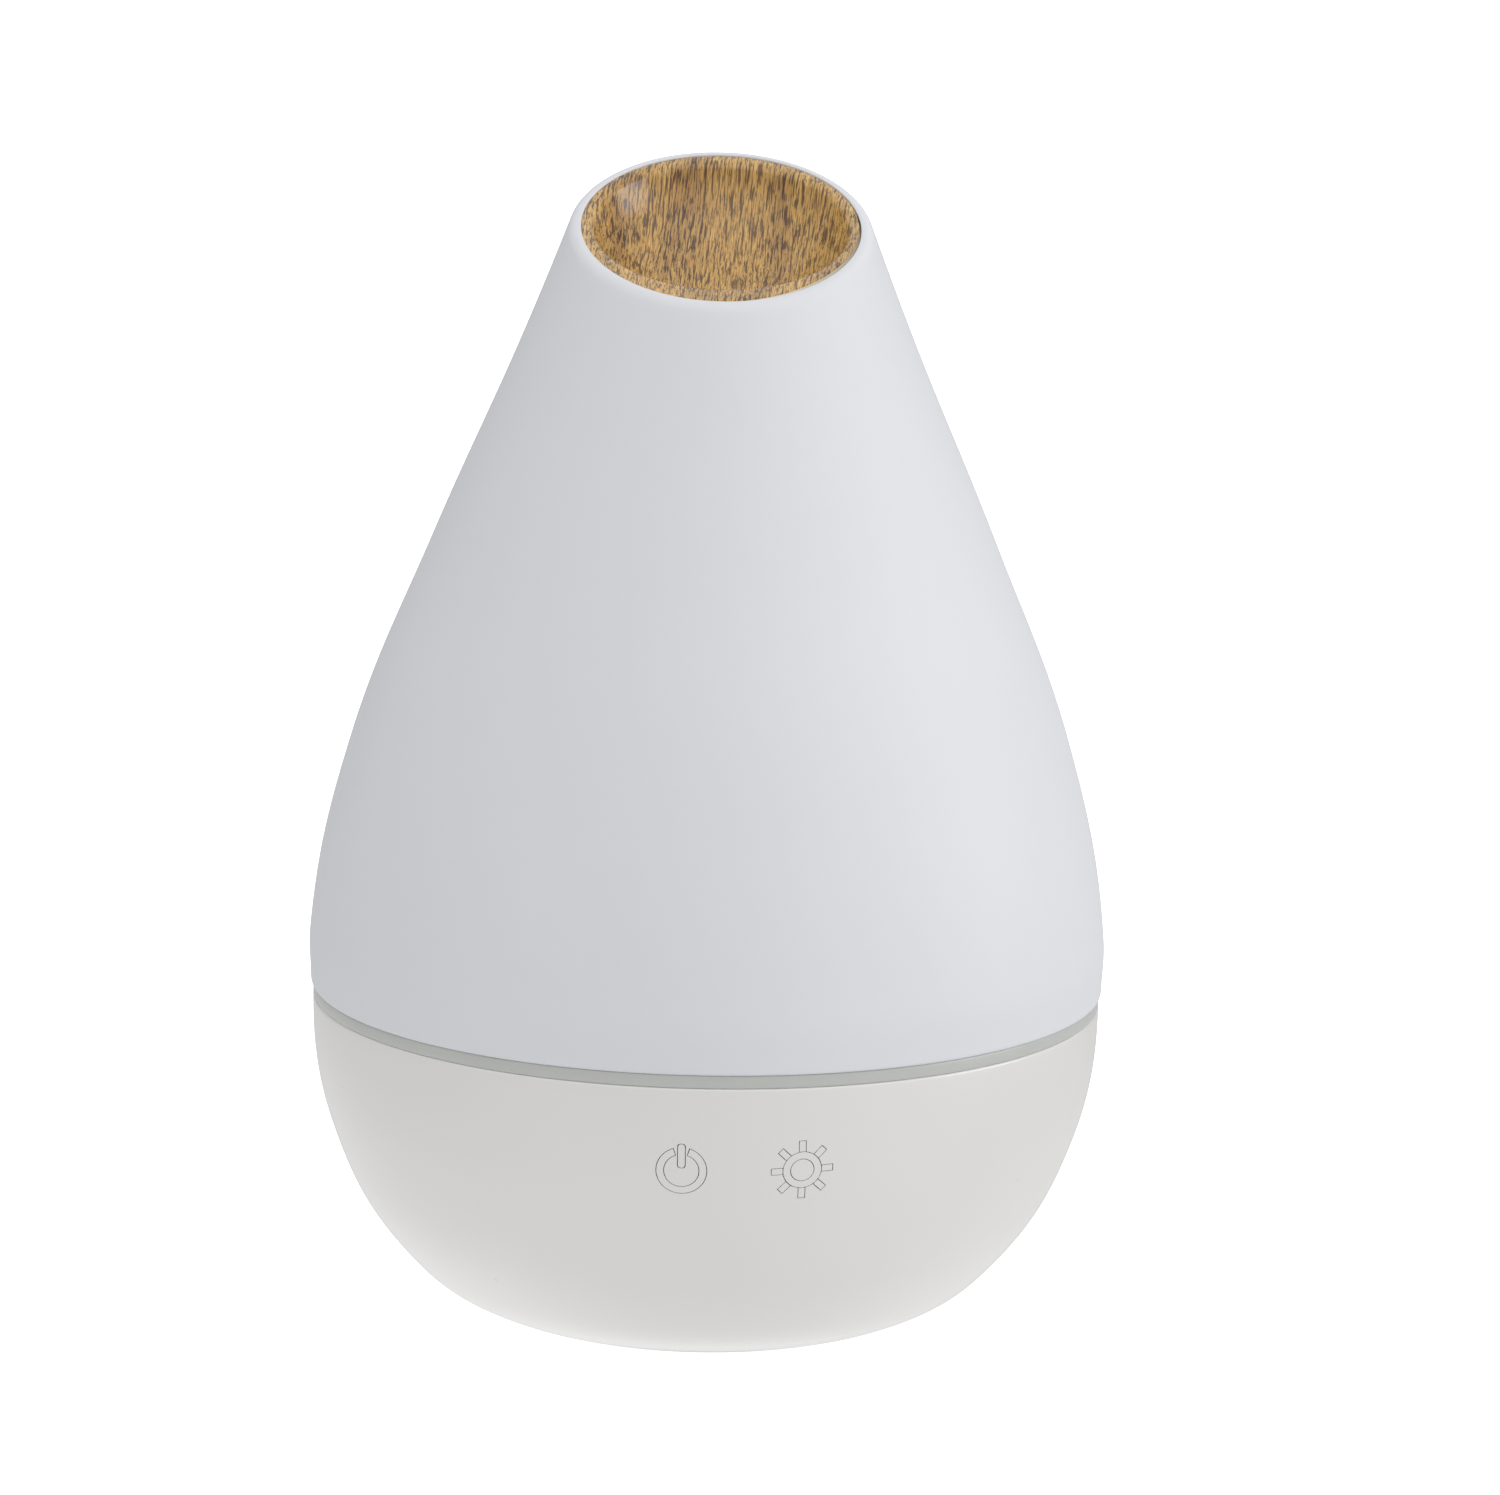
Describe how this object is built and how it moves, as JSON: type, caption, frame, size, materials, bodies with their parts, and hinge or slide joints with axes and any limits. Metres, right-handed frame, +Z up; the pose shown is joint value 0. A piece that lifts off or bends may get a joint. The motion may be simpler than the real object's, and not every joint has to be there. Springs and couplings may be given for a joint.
{
  "type": "essential oil diffuser",
  "caption": "Teardrop ultrasonic oil diffuser: frosted cover with slanted wood-grain dish lifts off a glossy bowl base with water tank, fan and touch icons.",
  "frame": {"origin": "on the ground under the centre of the body", "axes": "+Z up; the touch icons face -Y, the plug recess faces +Y, +X is to the right of someone facing the icons"},
  "size_m": [0.1202, 0.1202, 0.1727],
  "materials": {
    "cover_plastic": "frosted",
    "wood_print": "glossy wood-grain print",
    "white_plastic": "satin",
    "bowl_plastic": "glossy",
    "icon_plastic": "satin, translucent",
    "tank_plastic": "translucent",
    "silicone": "soft",
    "foot_rubber": "matte",
    "piezo_ceramic": "silvered",
    "screw_steel": "zinc plated",
    "black_plastic": "moulded",
    "circuit_board": "solder mask",
    "white_board": "solder mask",
    "ferrite": "matte",
    "copper_wire": "enamelled",
    "aluminium_can": "satin",
    "bronze": "sintered",
    "lamp_plastic": "glossy",
    "foil_film": "polyimide film",
    "socket_plastic": "moulded",
    "cable_black": "pvc",
    "cable_red": "pvc"
  },
  "bodies": {
    "base": {"base_shell": "bowl_plastic", "power_icon": "icon_plastic", "light_icon": "icon_plastic", "water_tank": "tank_plastic", "air_tower": "tank_plastic", "tank_gasket": "silicone", "air_cap": "white_plastic", "transducer_disc": "piezo_ceramic", "transducer_seal": "silicone", "transducer_clamp": "white_plastic", "clamp_screws": "screw_steel", "bottom_plate": "white_plastic", "bottom_screws": "screw_steel", "rubber_feet": "foot_rubber", "fan_frame": "black_plastic", "fan_bush": "bronze", "fan_stator": "copper_wire", "fan_hood": "white_plastic", "fan_screws": "screw_steel", "main_board": "circuit_board", "board_screws": "screw_steel", "coil_core": "ferrite", "coil_winding": "copper_wire", "capacitors": "aluminium_can", "power_transistor": "black_plastic", "heat_sink": "aluminium_can", "control_chip": "black_plastic", "lead_sockets": "socket_plastic", "ribbon_socket": "socket_plastic", "light_board": "white_board", "light_leds": "lamp_plastic", "touch_foil": "foil_film", "touch_tail": "foil_film", "dc_jack": "black_plastic", "jack_contact": "screw_steel", "jack_tabs": "screw_steel", "jack_cable": "cable_red", "fan_cable": "cable_black", "transducer_cable": "cable_red", "light_cable": "cable_black"},
    "cover": {"upper_cover": "cover_plastic", "wood_dish": "wood_print", "mist_duct": "white_plastic"},
    "fan": {"fan_rotor": "black_plastic", "fan_magnet": "ferrite", "fan_shaft": "screw_steel"}
  },
  "joints": [
    {"name": "cover_lift", "type": "slide", "parent": "base", "child": "cover", "axis": [0, 0, 1], "range_m": [0, 0.08]},
    {"name": "fan_spin", "type": "hinge", "parent": "base", "child": "fan", "pos_m": [0, 0.014, 0.01], "axis": [0, 0, 1], "continuous": true}
  ]
}
